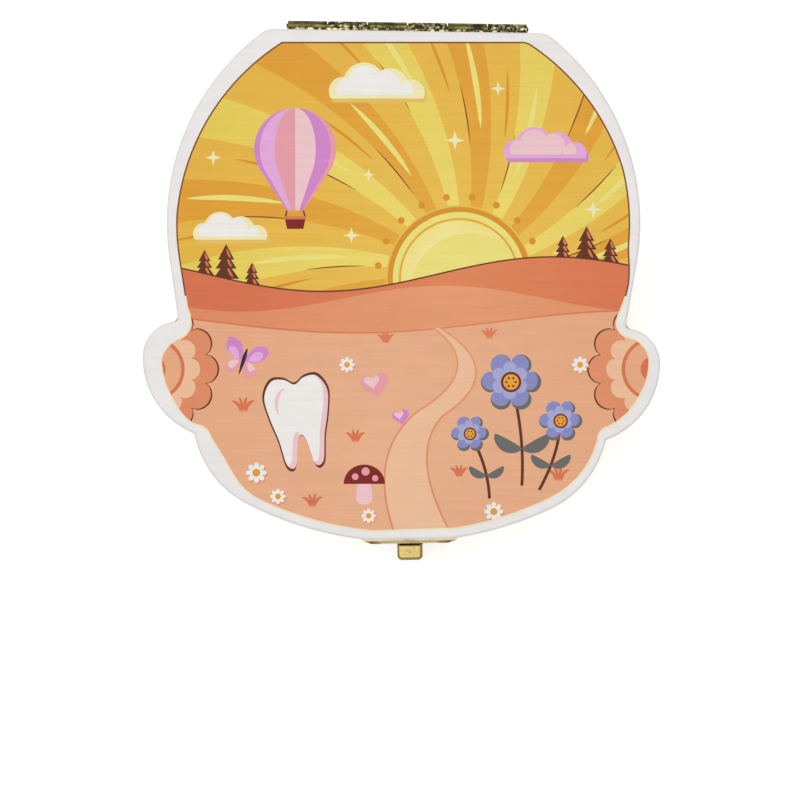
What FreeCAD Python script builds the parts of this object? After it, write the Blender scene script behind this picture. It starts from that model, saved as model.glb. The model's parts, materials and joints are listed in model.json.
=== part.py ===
import FreeCAD, Part
import Sketcher
import math
import os

# Baby tooth box: two wooden halves on a long brass hinge, closed by a sprung lever latch.
# It lies on its underside: Z is up, the hinge is at +Y, the latch at -Y, and the origin is
# under the middle of the outline. Millimetres and degrees.

Vector = FreeCAD.Vector
UP = Vector(0, 0, 1)
UPRIGHT_IN_SKETCH = Vector(0, 1, 0)

SIZES = {
    # Outline seen from above: a round crown, tapering sides, a shallow front arc and two side lobes
    "ear_reach": 60.0,
    "ear_stand": 5.1,
    "ear_level": 17.2,
    "ear_top_radius": 8.2,
    "ear_low_radius": 18.9,
    "base_notch_radius": 2.5,
    "lid_notch_radius": 0.8,
    "crown_centre_y": 14.8,
    "crown_corner_radius": 4.0,
    "back_flat_width": 64.8,
    "side_taper": 9.0,
    "cheek_radius": 23.0,
    "chin_radius": 79.5,
    "front_reach": 59.3,
    # Wooden halves
    "base_height": 18.0,
    "lid_height": 12.0,
    "parting_gap": 0.2,
    "edge_round": 0.7,
    "recess_wall": 6.0,
    "recess_depth": 5.0,
    # Tooth sockets on two arches, each as wide as the wood left between neighbours allows
    "teeth_per_arch": 10,
    "molars_per_side": 2,
    "arch_end_angle": 9.0,
    "upper_arch_y": 4.0,
    "lower_arch_y": -5.0,
    "arch_margin": 12.9,
    "socket_web": 3.5,
    "molar_allowance": 0.7,
    "socket_depth": 10.0,
    "socket_floor_round": 1.0,
    "rim_chamfer": 0.4,
    # Two larger wells for keepsakes, spaced evenly between the arches
    "hair_well_radius": 17.0,
    "cord_well_radius": 13.0,
    "well_depth": 12.0,
    # Hinge
    "hinge_length": 56.0,
    "hinge_shift": 0.2,
    "knuckle_count": 6,
    "knuckle_gap": 0.2,
    "barrel_radius": 1.25,
    "barrel_standoff": 0.15,
    "leaf_reach": 9.0,
    "leaf_thickness": 0.6,
    "leaf_corner_radius": 1.0,
    "leaf_notch_clearance": 0.3,
    "hinge_pin_radius": 0.6,
    "hinge_pin_head": 0.3,
    "running_clearance": 0.05,
    "nails_per_leaf": 3,
    "hinge_nail_inset": 6.0,
    "hinge_nail_drop": 5.2,
    # Nails
    "nail_radius": 0.5,
    "nail_length": 5.5,
    "nail_point": 1.0,
    "nail_head_radius": 1.1,
    "nail_head_height": 0.2,
    "nail_clearance": 0.03,
    # Latch plates on a flat milled across the front, a little way round its arc
    "latch_turn": 1.9,
    "latch_land_depth": 0.6,
    "latch_land_blend": 12.0,
    "plate_width": 22.0,
    "plate_thickness": 1.0,
    "plate_bevel": 0.75,
    "plate_end_bevel": 2.0,
    "plate_nail_inset": 3.4,
    "strike_height": 7.5,
    "base_plate_height": 11.0,
    "plate_gap": 1.0,
    "ledge_rise": 0.8,
    "ledge_thickness": 0.8,
    "ledge_side_clearance": 0.15,
    "ledge_reach": 1.8,
    # Latch lever, its lugs, pin and spring
    "lever_width": 6.0,
    "lever_reach": 2.45,
    "lever_wall": 0.9,
    "lever_cheek": 0.7,
    "lever_tail": 5.0,
    "lever_boss_radius": 1.2,
    "lever_corner_radius": 1.2,
    "lever_edge_round": 0.7,
    "latch_clearance": 0.3,
    "hook_clearance": 0.12,
    "pivot_drop": 7.0,
    "pivot_reach": 1.6,
    "pivot_pin_radius": 0.5,
    "pivot_pin_head": 0.2,
    "lug_thickness": 0.8,
    "lug_radius": 0.9,
    "spring_width": 1.6,
    "spring_thickness": 0.25,
    "spring_tip_thickness": 0.35,
    "spring_foot_rise": 2.4,
    "spring_foot_drop": 1.6,
    "spring_tip_drop": 4.4,
    "spring_tip_clearance": 0.1,
}

# How close two places in the model are the same, and how sharp an edge counts as a corner
TOLERANCE = 1e-4
CORNER_ANGLE = math.radians(15)

# Places worked out from the sizes
CROWN = "(Sizes.ear_reach - Sizes.ear_stand)"
BACK_Y = f"(Sizes.crown_centre_y + sqrt({CROWN} ^ 2 - Sizes.back_flat_width ^ 2 / 4))"
FRONT_Y = "(Sizes.latch_land_depth - Sizes.front_reach)"
LID_Z = "(Sizes.base_height + Sizes.parting_gap)"
AXIS_Y = f"({BACK_Y} + Sizes.barrel_radius + Sizes.barrel_standoff)"
AXIS_Z = "(Sizes.base_height + Sizes.parting_gap / 2)"
PIVOT_Z = "(Sizes.base_height - Sizes.pivot_drop)"
STRIKE_Z = f"({LID_Z} + Sizes.plate_gap)"
BASE_PLATE_Z = "(Sizes.base_height - Sizes.plate_gap - Sizes.base_plate_height)"
NAIL_HOLE = "(Sizes.nail_radius + Sizes.nail_clearance)"
PLATE_NAIL_X = "(Sizes.plate_width / 2 - Sizes.plate_nail_inset)"
STRIKE_NAIL_Z = f"({STRIKE_Z} + Sizes.strike_height / 2)"
BASE_NAIL_Z = f"({BASE_PLATE_Z} + Sizes.base_plate_height / 2)"
PLATE_FACE = "Sizes.pivot_reach"
LUG_OUTER = "(Sizes.lever_width / 2 - Sizes.lever_cheek - Sizes.latch_clearance)"
ROOF_UNDER = (
    f"({STRIKE_Z} + Sizes.ledge_rise + Sizes.ledge_thickness"
    f" + Sizes.latch_clearance - {PIVOT_Z})"
)

# The latch as seen from the centre of the front arc: which way it lies, and how far out
LATCH_TURN = "(Sizes.latch_turn * 1 deg)"
CHIN_Y = "(Sizes.chin_radius - Sizes.front_reach)"
LAND_OUT = "(Sizes.chin_radius - Sizes.latch_land_depth)"
PIVOT_OUT = f"({LAND_OUT} + Sizes.plate_thickness + Sizes.pivot_reach)"

# The arches of sockets: where each is centred, and how far its line of sockets reaches
SOCKET_STEP = "((180 - 2 * Sizes.arch_end_angle) / (Sizes.teeth_per_arch - 1))"
SIDE_X = (
    f"(({CROWN} + (Sizes.lower_arch_y - Sizes.crown_centre_y) * sin(Sizes.side_taper * 1 deg))"
    " / cos(Sizes.side_taper * 1 deg))"
)
UPPER_APEX = f"({BACK_Y} - Sizes.arch_margin)"
LOWER_APEX = f"({FRONT_Y} + Sizes.arch_margin)"
ARCHES = {
    "upper": {
        "centre_y": "Sizes.upper_arch_y",
        "reach_x": f"({CROWN} - Sizes.arch_margin)",
        "reach_y": f"({UPPER_APEX} - Sizes.upper_arch_y)",
    },
    "lower": {
        "centre_y": "Sizes.lower_arch_y",
        "reach_x": f"({SIDE_X} - Sizes.arch_margin)",
        "reach_y": f"({LOWER_APEX} - Sizes.lower_arch_y)",
    },
}

doc = FreeCAD.newDocument("baby_tooth_box")
sheet = doc.addObject("Spreadsheet::Sheet", "Sizes")
for row, (alias, size) in enumerate(SIZES.items(), start=1):
    sheet.set(f"A{row}", alias)
    sheet.set(f"B{row}", str(size))
    sheet.setAlias(f"B{row}", alias)
doc.recompute()


def number(expression):
    """The present value of an expression over the sheet."""
    result = sheet.evalExpression(expression)
    return float(getattr(result, "Value", result))


# Sketch helpers
def new_body(label, x="0", y="0", z="0"):
    """A body whose own origin stands at the given place."""
    body = doc.addObject("PartDesign::Body", label)
    body.Label = label
    for axis, expression in zip("xyz", (x, y, z)):
        body.setExpression(f"Placement.Base.{axis}", expression)
    return body


def latch_place(across, out):
    """A place on the latch: along its plates, and out from the centre of the front arc."""
    x = f"({out} * sin({LATCH_TURN}) + {across} * cos({LATCH_TURN}))"
    y = f"({CHIN_Y} - {out} * cos({LATCH_TURN}) + {across} * sin({LATCH_TURN}))"
    return x, y


def latch_directions():
    """The directions along the latch's plates and out from them."""
    turn = math.radians(number("Sizes.latch_turn"))
    return Vector(math.cos(turn), math.sin(turn), 0), Vector(math.sin(turn), -math.cos(turn), 0)


def latch_body(label, out, z):
    """A body at the middle of the latch, turned as the latch is."""
    body = new_body(label, *latch_place("0", out), z)
    body.setExpression("Placement.Rotation.Angle", LATCH_TURN)
    return body


def plane_of(body, role):
    return next(f for f in body.Origin.OriginFeatures if f.Role == role)


def new_sketch(body, role, offset="0"):
    """A sketch on one of the body's own planes, raised along the plane's normal."""
    sketch = body.newObject("Sketcher::SketchObject", "Sketch")
    sketch.AttachmentSupport = (plane_of(body, role), [""])
    sketch.MapMode = "FlatFace"
    sketch.setExpression("AttachmentOffset.Base.z", offset)
    return sketch


def tie(sketch, expression, kind, *elements):
    """Adds a dimension and ties it to an expression over the sheet."""
    index = sketch.addConstraint(Sketcher.Constraint(kind, *elements, number(expression)))
    sketch.setExpression(f"Constraints[{index}]", expression)


def tie_point(sketch, element, point, x, y):
    tie(sketch, x, "DistanceX", -1, 1, element, point)
    tie(sketch, y, "DistanceY", -1, 1, element, point)


def draw_polygon(sketch, corners):
    """A closed polygon; each corner is a pair of expressions."""
    points = [Vector(number(x), number(y), 0) for x, y in corners]
    first = sketch.GeometryCount
    count = len(points)
    for i in range(count):
        sketch.addGeometry(Part.LineSegment(points[i], points[(i + 1) % count]), False)
    for i in range(count):
        following = first + (i + 1) % count
        sketch.addConstraint(Sketcher.Constraint("Coincident", first + i, 2, following, 1))
        tie_point(sketch, first + i, 1, *corners[i])


def draw_box(sketch, left, right, low, high):
    draw_polygon(sketch, [(left, low), (right, low), (right, high), (left, high)])


def draw_circle(sketch, x, y, radius):
    place = Vector(number(x), number(y), 0)
    circle = sketch.addGeometry(Part.Circle(place, UP, number(radius)), False)
    tie(sketch, radius, "Radius", circle)
    tie_point(sketch, circle, 3, x, y)


def arc_between(centre, start, end):
    """The arc that runs counterclockwise from start to end about centre."""
    first = math.atan2(start.y - centre.y, start.x - centre.x)
    last = math.atan2(end.y - centre.y, end.x - centre.x)
    if last <= first:
        last += 2 * math.pi
    return Part.ArcOfCircle(Part.Circle(centre, UP, (start - centre).Length), first, last)


def mirror_x(point):
    return Vector(-point.x, point.y, 0)


def head_points(inset):
    """The right-hand points of the main outline, drawn in by inset."""
    crown = number(CROWN) - inset
    crown_centre = Vector(0, number("Sizes.crown_centre_y"), 0)
    back = number(BACK_Y) - inset
    corner = number("Sizes.crown_corner_radius")
    chin = number("Sizes.chin_radius") - inset
    chin_centre = Vector(0, number(CHIN_Y), 0)
    cheek = number("Sizes.cheek_radius") - inset
    taper = math.radians(number("Sizes.side_taper"))
    outward = Vector(math.cos(taper), -math.sin(taper), 0)
    along = Vector(-math.sin(taper), -math.cos(taper), 0)

    corner_y = back - corner
    corner_x = math.sqrt((crown - corner) ** 2 - (corner_y - crown_centre.y) ** 2)
    corner_centre = Vector(corner_x, corner_y, 0)
    side_start = crown_centre + outward * crown
    # The cheek arc touches the tapering side and the chin arc from within
    on_side = side_start - outward * cheek
    from_chin = on_side - chin_centre
    forward = from_chin.dot(along)
    spare = (chin - cheek) ** 2 - from_chin.dot(from_chin)
    cheek_centre = on_side + along * (math.sqrt(forward ** 2 + spare) - forward)
    return {
        "corner_centre": corner_centre,
        "crown_centre": crown_centre,
        "cheek_centre": cheek_centre,
        "chin_centre": chin_centre,
        "back_end": Vector(corner_x, back, 0),
        "crown_end": crown_centre + (corner_centre - crown_centre).normalize() * crown,
        "side_start": side_start,
        "side_end": cheek_centre + outward * cheek,
        "chin_end": chin_centre + (cheek_centre - chin_centre).normalize() * chin,
    }


def draw_head(sketch, inset="0"):
    """The main outline without its lobes: one closed, smooth loop of lines and arcs."""
    p = head_points(number(inset))
    q = {name: mirror_x(point) for name, point in p.items()}
    back, left_corner, left_crown, left_side, left_cheek = range(5)
    chin, right_cheek, right_side, right_crown, right_corner = range(5, 10)
    loop = [
        Part.LineSegment(p["back_end"], q["back_end"]),
        arc_between(q["corner_centre"], q["back_end"], q["crown_end"]),
        arc_between(q["crown_centre"], q["crown_end"], q["side_start"]),
        Part.LineSegment(q["side_start"], q["side_end"]),
        arc_between(q["cheek_centre"], q["side_end"], q["chin_end"]),
        arc_between(p["chin_centre"], q["chin_end"], p["chin_end"]),
        arc_between(p["cheek_centre"], p["chin_end"], p["side_end"]),
        Part.LineSegment(p["side_end"], p["side_start"]),
        arc_between(p["crown_centre"], p["side_start"], p["crown_end"]),
        arc_between(p["corner_centre"], p["crown_end"], p["back_end"]),
    ]
    sketch.addGeometry(loop, False)
    for i in range(len(loop)):
        sketch.addConstraint(Sketcher.Constraint("Tangent", i, 2, (i + 1) % len(loop), 1))
    sketch.addConstraint(Sketcher.Constraint("Horizontal", back))
    tie(sketch, f"{BACK_Y} - {inset}", "DistanceY", -1, 1, back, 1)
    fall = f"({CROWN} - {inset}) * sin(Sizes.side_taper * 1 deg)"
    for crown, side_end in ((left_crown, 2), (right_crown, 1)):
        tie_point(sketch, crown, 3, "0", "Sizes.crown_centre_y")
        tie(sketch, f"{CROWN} - {inset}", "Radius", crown)
        tie(sketch, fall, "DistanceY", crown, side_end, crown, 3)
    for corner in (left_corner, right_corner):
        tie(sketch, "Sizes.crown_corner_radius", "Radius", corner)
    for cheek in (left_cheek, right_cheek):
        tie(sketch, f"Sizes.cheek_radius - {inset}", "Radius", cheek)
    tie_point(sketch, chin, 3, "0", CHIN_Y)
    tie(sketch, f"Sizes.chin_radius - {inset}", "Radius", chin)


def draw_ear(sketch):
    """One side lobe: a tight arc above a wide one, run into the middle of the box."""
    reach, level, top, low, root = (
        number(f"Sizes.{name}")
        for name in ("ear_reach", "ear_level", "ear_top_radius", "ear_low_radius", "ear_reach / 2")
    )
    outermost = Vector(reach, -level, 0)
    lowest = Vector(reach - low, -level - low, 0)
    highest = Vector(reach - top, -level + top, 0)
    root_low = Vector(root, lowest.y, 0)
    root_high = Vector(root, highest.y, 0)
    low_arc, top_arc, top_line, root_line, low_line = range(5)
    loop = [
        arc_between(Vector(reach - low, -level, 0), lowest, outermost),
        arc_between(Vector(reach - top, -level, 0), outermost, highest),
        Part.LineSegment(highest, root_high),
        Part.LineSegment(root_high, root_low),
        Part.LineSegment(root_low, lowest),
    ]
    sketch.addGeometry(loop, False)
    for one, other in ((low_arc, top_arc), (top_arc, top_line), (low_line, low_arc)):
        sketch.addConstraint(Sketcher.Constraint("Tangent", one, 2, other, 1))
    for one, other in ((top_line, root_line), (root_line, low_line)):
        sketch.addConstraint(Sketcher.Constraint("Coincident", one, 2, other, 1))
    sketch.addConstraint(Sketcher.Constraint("Horizontal", top_line))
    sketch.addConstraint(Sketcher.Constraint("Horizontal", low_line))
    sketch.addConstraint(Sketcher.Constraint("Vertical", root_line))
    tie(sketch, "Sizes.ear_reach / 2", "DistanceX", -1, 1, root_line, 1)
    tie_point(sketch, top_arc, 1, "Sizes.ear_reach", "-Sizes.ear_level")
    tie_point(sketch, top_arc, 3, "Sizes.ear_reach - Sizes.ear_top_radius", "-Sizes.ear_level")
    tie(sketch, "Sizes.ear_low_radius", "Radius", low_arc)


def draw_lug(sketch):
    """A lug round the pivot, standing on the latch plate's face."""
    root, radius = number(PLATE_FACE), number("Sizes.lug_radius")
    places = ((root, -radius), (root, radius), (0, radius), (0, -radius))
    corners = [Vector(x, y, 0) for x, y in places]
    root_line, top_line, nose, low_line = range(4)
    loop = [
        Part.LineSegment(corners[0], corners[1]),
        Part.LineSegment(corners[1], corners[2]),
        arc_between(Vector(0, 0, 0), corners[2], corners[3]),
        Part.LineSegment(corners[3], corners[0]),
    ]
    sketch.addGeometry(loop, False)
    for one, other in ((top_line, nose), (nose, low_line)):
        sketch.addConstraint(Sketcher.Constraint("Tangent", one, 2, other, 1))
    for one, other in ((low_line, root_line), (root_line, top_line)):
        sketch.addConstraint(Sketcher.Constraint("Coincident", one, 2, other, 1))
    sketch.addConstraint(Sketcher.Constraint("Vertical", root_line))
    sketch.addConstraint(Sketcher.Constraint("Horizontal", top_line))
    sketch.addConstraint(Sketcher.Constraint("Horizontal", low_line))
    sketch.addConstraint(Sketcher.Constraint("Coincident", nose, 3, -1, 1))
    tie(sketch, "Sizes.lug_radius", "Radius", nose)
    tie(sketch, PLATE_FACE, "DistanceX", -1, 1, root_line, 1)


# Feature helpers
def pad(body, sketch, length, symmetric=False):
    feature = body.newObject("PartDesign::Pad", "Pad")
    feature.Profile = sketch
    feature.SideType = "Symmetric" if symmetric else "One side"
    feature.setExpression("Length", length)
    doc.recompute()
    return feature


def cut(body, sketch, depth):
    """Cuts to the same depth on both sides of the sketch, so only the solid's side matters."""
    before = body.Shape.Volume
    feature = body.newObject("PartDesign::Pocket", "Pocket")
    feature.Profile = sketch
    feature.SideType = "Symmetric"
    feature.setExpression("Length", f"2 * ({depth})")
    doc.recompute()
    if body.Shape.Volume >= before:
        raise RuntimeError(f"a cut in {body.Label} removed nothing")
    return feature


def soften(body, kind, size, test):
    """Fillets or chamfers the edges of the body that pass a test."""
    base = body.Tip
    names = [f"Edge{i}" for i, edge in enumerate(base.Shape.Edges, start=1) if test(edge)]
    if not names:
        raise RuntimeError(f"no edge of {body.Label} to soften")
    feature = body.newObject(f"PartDesign::{kind}", kind)
    feature.Base = (base, names)
    feature.setExpression("Radius" if kind == "Fillet" else "Size", size)
    doc.recompute()


def same(one, other):
    return abs(one - other) < TOLERANCE


def lies_at(edge, **place):
    """Whether all of an edge lies at the given x, y or z."""
    box = edge.BoundBox
    spans = {"x": (box.XMin, box.XMax), "y": (box.YMin, box.YMax), "z": (box.ZMin, box.ZMax)}
    return all(same(spans[axis][0], at) and same(spans[axis][1], at) for axis, at in place.items())


def is_upright(edge):
    return edge.BoundBox.XLength < TOLERANCE and edge.BoundBox.YLength < TOLERANCE


def inner_corner(body):
    """A test for upright edges where two faces meet at an angle."""
    shape = body.Tip.Shape

    def test(edge):
        if not is_upright(edge):
            return False
        middle = edge.CenterOfMass
        faces = shape.ancestorsOfType(edge, Part.Face)
        one, other = (f.normalAt(*f.Surface.parameter(middle)) for f in faces)
        return one.getAngle(other) > CORNER_ANGLE

    return test


# Nails, shared by the hinge and the latch
def nail(places, outward):
    """One domed nail. Its head's underside is at the place, and its shank runs inward."""
    turn = FreeCAD.Rotation(UP, outward)
    shank = doc.addObject("Part::Cylinder", "Shank")
    shank.setExpression("Radius", "Sizes.nail_radius")
    shank.setExpression("Height", "Sizes.nail_length - Sizes.nail_point")
    shank.setExpression("Placement.Base.z", "Sizes.nail_point - Sizes.nail_length")
    point = doc.addObject("Part::Cone", "Point")
    point.Radius1 = 0
    point.setExpression("Radius2", "Sizes.nail_radius")
    point.setExpression("Height", "Sizes.nail_point")
    point.setExpression("Placement.Base.z", "-Sizes.nail_length")
    whole = doc.addObject("Part::MultiFuse", "Nail")
    whole.Shapes = [shank, point, dome("Sizes.nail_head_radius", "Sizes.nail_head_height")]
    whole.Placement = FreeCAD.Placement(Vector(0, 0, 0), turn)
    for axis, expression in zip("xyz", places):
        whole.setExpression(f"Placement.Base.{axis}", expression)
    return whole


def dome(radius, height):
    """A half ellipsoid standing on the plane z = 0."""
    cap = doc.addObject("Part::Ellipsoid", "Dome")
    cap.Angle1 = 0
    cap.Angle2 = 90
    cap.setExpression("Radius1", height)
    cap.setExpression("Radius2", radius)
    cap.setExpression("Radius3", radius)
    return cap


def nail_group(label, places, outward):
    group = doc.addObject("Part::Compound", label)
    group.Label = label
    group.Links = [nail(place, outward) for place in places]
    return group


def pin(label, places, direction, radius, length, head_height):
    """A pin along a direction, with a low domed head at each end, centred on the place."""
    shaft = doc.addObject("Part::Cylinder", "Shaft")
    shaft.setExpression("Radius", radius)
    shaft.setExpression("Height", length)
    shaft.setExpression("Placement.Base.z", f"-({length}) / 2")
    far, near = dome(radius, head_height), dome(radius, head_height)
    far.setExpression("Placement.Base.z", f"({length}) / 2")
    near.Placement.Rotation = FreeCAD.Rotation(Vector(1, 0, 0), 180)
    near.setExpression("Placement.Base.z", f"-({length}) / 2")
    whole = doc.addObject("Part::MultiFuse", label)
    whole.Label = label
    whole.Shapes = [shaft, far, near]
    whole.Placement = FreeCAD.Placement(Vector(0, 0, 0), FreeCAD.Rotation(UP, direction))
    for axis, expression in zip("xyz", places):
        whole.setExpression(f"Placement.Base.{axis}", expression)
    return whole


def hinge_nail_x():
    """The nails of one leaf, spread evenly between its two insets."""
    count = int(number("Sizes.nails_per_leaf"))
    span = "(Sizes.hinge_length - 2 * Sizes.hinge_nail_inset)"
    share = "(Sizes.nails_per_leaf - 1)"
    return [f"({span} * ({i} / {share} - 0.5))" for i in range(count)]


def drill_nail_holes(body, hinge_nail_z, latch_nail_z):
    """Pilot holes in a wooden half, from its back face and from the flat at its front."""
    back = new_sketch(body, "XZ_Plane", f"-{BACK_Y}")
    for x in hinge_nail_x():
        draw_circle(back, f"Sizes.hinge_shift + {x}", hinge_nail_z, NAIL_HOLE)
    depth = "Sizes.nail_length + Sizes.nail_clearance"
    cut(body, back, f"{depth} - Sizes.leaf_thickness")
    land_x, land_y = latch_place("0", LAND_OUT)
    front = new_sketch(body, "XZ_Plane", f"-{land_y}")
    front.AttachmentOffset.Rotation = FreeCAD.Rotation(UPRIGHT_IN_SKETCH, number("Sizes.latch_turn"))
    front.setExpression("AttachmentOffset.Base.x", land_x)
    for side in ("-", ""):
        draw_circle(front, f"{side}{PLATE_NAIL_X}", latch_nail_z, NAIL_HOLE)
    cut(body, front, f"{depth} - Sizes.plate_thickness")


# Wooden halves
def wooden_half(label, z, height, notch_radius):
    """A block of the box's outline, with a blended flat across its front for the latch."""
    body = new_body(label, z=z)
    head = new_sketch(body, "XY_Plane")
    draw_head(head)
    pad(body, head, height)
    ear = new_sketch(body, "XY_Plane")
    draw_ear(ear)
    ear_pad = pad(body, ear, height)
    other_ear = body.newObject("PartDesign::Mirrored", "Mirrored")
    other_ear.Originals = [ear_pad]
    other_ear.MirrorPlane = (plane_of(body, "YZ_Plane"), [""])
    body.Tip = other_ear
    doc.recompute()
    soften(body, "Fillet", notch_radius, inner_corner(body))
    land = new_sketch(body, "XY_Plane")
    left, right = "-Sizes.chin_radius / 2", "Sizes.chin_radius / 2"
    beyond = "2 * Sizes.chin_radius"
    corners = ((left, LAND_OUT), (left, beyond), (right, beyond), (right, LAND_OUT))
    draw_polygon(land, [latch_place(*corner) for corner in corners])
    cut(body, land, height)
    land_out = number(LAND_OUT)
    chin_centre = Vector(0, number(CHIN_Y), 0)
    _, outward = latch_directions()
    soften(
        body,
        "Fillet",
        "Sizes.latch_land_blend",
        lambda edge: is_upright(edge) and same((edge.CenterOfMass - chin_centre).dot(outward), land_out),
    )
    return body


def socket_radius(arch):
    """Half of what neighbouring sockets of an arch leave each other beside the wood between them."""
    tighter = f"min(abs({arch['reach_x']}); abs({arch['reach_y']}))"
    return f"({tighter} * sin({SOCKET_STEP} / 2 * 1 deg) - Sizes.socket_web / 2)"


def draw_arch(sketch, arch):
    """One arch of round sockets, with the wider ones for molars at its ends."""
    teeth = int(number("Sizes.teeth_per_arch"))
    molars = int(number("Sizes.molars_per_side"))
    radius = socket_radius(arch)
    for i in range(teeth):
        angle = f"((Sizes.arch_end_angle + {i} * {SOCKET_STEP}) * 1 deg)"
        x = f"{arch['reach_x']} * cos({angle})"
        y = f"{arch['centre_y']} + {arch['reach_y']} * sin({angle})"
        is_molar = i < molars or i >= teeth - molars
        draw_circle(sketch, x, y, f"{radius} + Sizes.molar_allowance" if is_molar else radius)


def draw_wells(sketch):
    """The two wells, with the same wood between them as between each and its arch."""
    hair, cord = "Sizes.hair_well_radius", "Sizes.cord_well_radius"
    high = f"({UPPER_APEX} - {socket_radius(ARCHES['upper'])})"
    low = f"({LOWER_APEX} + {socket_radius(ARCHES['lower'])})"
    gap = f"(({high} - {low} - 2 * {hair} - 2 * {cord}) / 3)"
    draw_circle(sketch, "0", f"{high} - {gap} - {hair}", hair)
    draw_circle(sketch, "0", f"{low} + {gap} + {cord}", cord)


def base_block():
    body = wooden_half("base_block", "0", "Sizes.base_height", "Sizes.base_notch_radius")
    soften(body, "Fillet", "Sizes.edge_round", lambda edge: lies_at(edge, z=0))
    for arch in ARCHES.values():
        sockets = new_sketch(body, "XY_Plane", "Sizes.base_height")
        draw_arch(sockets, arch)
        cut(body, sockets, "Sizes.socket_depth")
    wells = new_sketch(body, "XY_Plane", "Sizes.base_height")
    draw_wells(wells)
    cut(body, wells, "Sizes.well_depth")
    floors = [number(f"Sizes.base_height - Sizes.{depth}") for depth in ("socket_depth", "well_depth")]
    soften(
        body,
        "Fillet",
        "Sizes.socket_floor_round",
        lambda edge: edge.isClosed() and any(lies_at(edge, z=floor) for floor in floors),
    )
    top = number("Sizes.base_height")
    soften(body, "Chamfer", "Sizes.rim_chamfer", lambda edge: edge.isClosed() and lies_at(edge, z=top))
    drill_nail_holes(body, f"({AXIS_Z} - Sizes.hinge_nail_drop)", BASE_NAIL_Z)
    return body


def lid_block():
    body = wooden_half("lid_block", LID_Z, "Sizes.lid_height", "Sizes.lid_notch_radius")
    top = number("Sizes.lid_height")
    soften(body, "Fillet", "Sizes.edge_round", lambda edge: lies_at(edge, z=top))
    recess = new_sketch(body, "XY_Plane")
    draw_head(recess, "Sizes.recess_wall")
    cut(body, recess, "Sizes.recess_depth")
    drill_nail_holes(
        body,
        f"({AXIS_Z} + Sizes.hinge_nail_drop - {LID_Z})",
        f"({STRIKE_NAIL_Z} - {LID_Z})",
    )
    return body


# Hinge
def hinge_leaf(label, turned):
    """A leaf with every second knuckle, drawn about the hinge axis. Turned over, it fits its twin."""
    body = new_body(label, "Sizes.hinge_shift", AXIS_Y, AXIS_Z)
    if turned:
        body.Placement.Rotation = FreeCAD.Rotation(Vector(0, 1, 0), 180)
    half = "Sizes.hinge_length / 2"
    plate_top = "-(Sizes.barrel_radius + Sizes.leaf_notch_clearance)"
    face = "(Sizes.barrel_radius + Sizes.barrel_standoff - Sizes.leaf_thickness)"
    plate = new_sketch(body, "XZ_Plane", face)
    draw_box(plate, f"-{half}", half, "-Sizes.leaf_reach", plate_top)
    pad(body, plate, "Sizes.leaf_thickness")
    low = number("-Sizes.leaf_reach")
    soften(
        body,
        "Fillet",
        "Sizes.leaf_corner_radius",
        lambda edge: edge.BoundBox.YLength > TOLERANCE and lies_at(edge, z=low),
    )
    pitch = "Sizes.hinge_length / Sizes.knuckle_count"
    for slot in range(0, int(number("Sizes.knuckle_count")), 2):
        start = f"({slot} * {pitch} - {half} + Sizes.knuckle_gap / 2)"
        end = f"({slot + 1} * {pitch} - {half} - Sizes.knuckle_gap / 2)"
        strap = new_sketch(body, "XZ_Plane", face)
        draw_box(strap, start, end, plate_top, "0")
        pad(body, strap, "Sizes.leaf_thickness")
        barrel = new_sketch(body, "YZ_Plane", start)
        draw_circle(barrel, "0", "0", "Sizes.barrel_radius")
        draw_circle(barrel, "0", "0", "Sizes.hinge_pin_radius + Sizes.running_clearance")
        pad(body, barrel, f"{end} - {start}")
    holes = new_sketch(body, "XZ_Plane", face)
    for x in hinge_nail_x():
        draw_circle(holes, x, "-Sizes.hinge_nail_drop", NAIL_HOLE)
    cut(body, holes, "2 * Sizes.leaf_thickness")
    return body


def hinge_nails(label, sign):
    """The nails of one leaf, their heads on the leaf's outer face."""
    y = f"{BACK_Y} + Sizes.leaf_thickness"
    z = f"{AXIS_Z} {sign} Sizes.hinge_nail_drop"
    return nail_group(label, [(f"Sizes.hinge_shift + {x}", y, z) for x in hinge_nail_x()], Vector(0, 1, 0))


def hinge_pin():
    return pin(
        "hinge_pin",
        ("Sizes.hinge_shift", AXIS_Y, AXIS_Z),
        Vector(1, 0, 0),
        "Sizes.hinge_pin_radius",
        "Sizes.hinge_length",
        "Sizes.hinge_pin_head",
    )


# Latch
def latch_plate(label, z, height):
    """A plate with long bevels at its ends and two nail holes, drawn up from its lower edge."""
    body = latch_body(label, LAND_OUT, z)
    end = "(Sizes.plate_width / 2)"
    rim = "(Sizes.plate_bevel - Sizes.plate_thickness)"
    brow = f"({end} - Sizes.plate_end_bevel)"
    face = "-Sizes.plate_thickness"
    plan = new_sketch(body, "XY_Plane")
    draw_polygon(
        plan,
        [(f"-{end}", "0"), (f"-{end}", rim), (f"-{brow}", face), (brow, face), (end, rim), (end, "0")],
    )
    pad(body, plan, height)
    outer = number(face)
    soften(
        body,
        "Chamfer",
        "Sizes.plate_bevel",
        lambda edge: lies_at(edge, y=outer) and not is_upright(edge),
    )
    holes = new_sketch(body, "XZ_Plane")
    for side in ("-", ""):
        draw_circle(holes, f"{side}{PLATE_NAIL_X}", f"{height} / 2", NAIL_HOLE)
    cut(body, holes, "2 * Sizes.plate_thickness")
    return body


def latch_strike_plate():
    """The lid's plate, with the ledge that the lever hooks over."""
    body = latch_plate("latch_strike_plate", STRIKE_Z, "Sizes.strike_height")
    ledge = new_sketch(body, "XZ_Plane")
    half = "(Sizes.lever_width / 2 - Sizes.lever_cheek - Sizes.ledge_side_clearance)"
    high = "Sizes.ledge_rise + Sizes.ledge_thickness"
    draw_box(ledge, f"-{half}", half, "Sizes.ledge_rise", high)
    pad(body, ledge, "Sizes.plate_thickness + Sizes.ledge_reach")
    return body


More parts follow.
